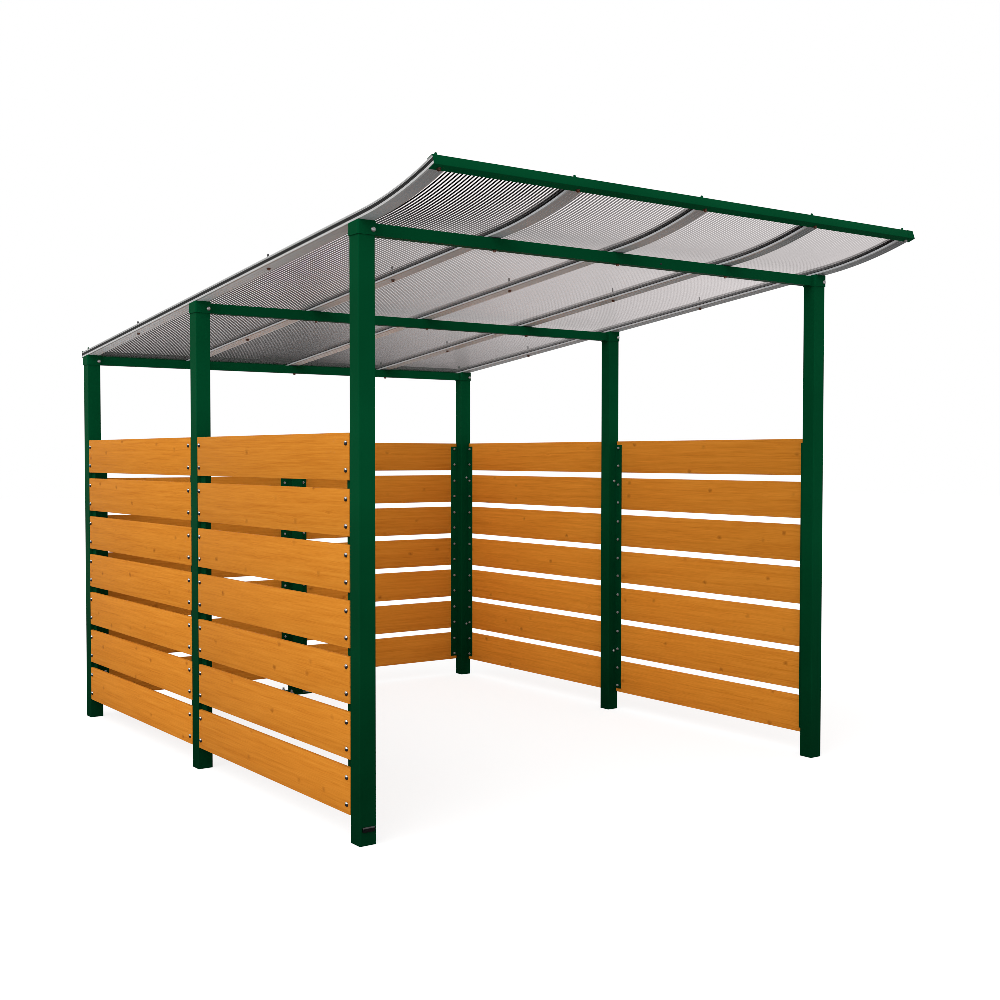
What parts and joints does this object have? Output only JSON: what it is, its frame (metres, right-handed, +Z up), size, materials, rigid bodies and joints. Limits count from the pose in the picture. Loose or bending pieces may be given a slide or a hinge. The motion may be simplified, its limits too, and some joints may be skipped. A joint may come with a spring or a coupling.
{
  "type": "bike shelter",
  "caption": "Open-fronted bike shelter with green steel posts, boarded sides and back, and a translucent mono-pitch roof that turns up at the front.",
  "frame": {"origin": "on the ground, in the middle of the part's box", "axes": "+Z up, the open front faces -Y, +X to the right as seen from the front"},
  "size_m": [2.5686, 3.6202, 2.4648],
  "materials": {
    "painted_steel": "satin dark green powder coat",
    "stained_timber": "honey stain, fine horizontal grain",
    "aluminium_bar": "plain mill finish",
    "roof_glazing": "translucent ribbed sheet"
  },
  "bodies": {
    "root": {"front_left_post": "painted_steel", "front_right_post": "painted_steel", "middle_left_post": "painted_steel", "middle_right_post": "painted_steel", "rear_left_post": "painted_steel", "rear_right_post": "painted_steel", "back_centre_post": "painted_steel", "front_left_collar": "painted_steel", "front_right_collar": "painted_steel", "middle_left_collar": "painted_steel", "middle_right_collar": "painted_steel", "rear_left_collar": "painted_steel", "rear_right_collar": "painted_steel", "front_beam": "painted_steel", "middle_beam": "painted_steel", "rear_beam": "painted_steel", "left_front_brackets": "painted_steel", "left_rear_brackets": "painted_steel", "right_front_brackets": "painted_steel", "right_rear_brackets": "painted_steel", "back_left_brackets": "painted_steel", "back_right_brackets": "painted_steel", "front_roof_channel": "painted_steel", "rear_roof_channel": "painted_steel", "left_front_boards": "stained_timber", "left_rear_boards": "stained_timber", "right_front_boards": "stained_timber", "right_rear_boards": "stained_timber", "back_left_boards": "stained_timber", "back_right_boards": "stained_timber", "rafter_1": "aluminium_bar", "rafter_2": "aluminium_bar", "rafter_3": "aluminium_bar", "rafter_4": "aluminium_bar", "rafter_5": "aluminium_bar", "rafter_cap_1": "aluminium_bar", "rafter_cap_2": "aluminium_bar", "rafter_cap_3": "aluminium_bar", "rafter_cap_4": "aluminium_bar", "rafter_cap_5": "aluminium_bar", "roof_sheet_1": "roof_glazing", "roof_sheet_2": "roof_glazing", "roof_sheet_3": "roof_glazing", "roof_sheet_4": "roof_glazing"}
  },
  "joints": []
}
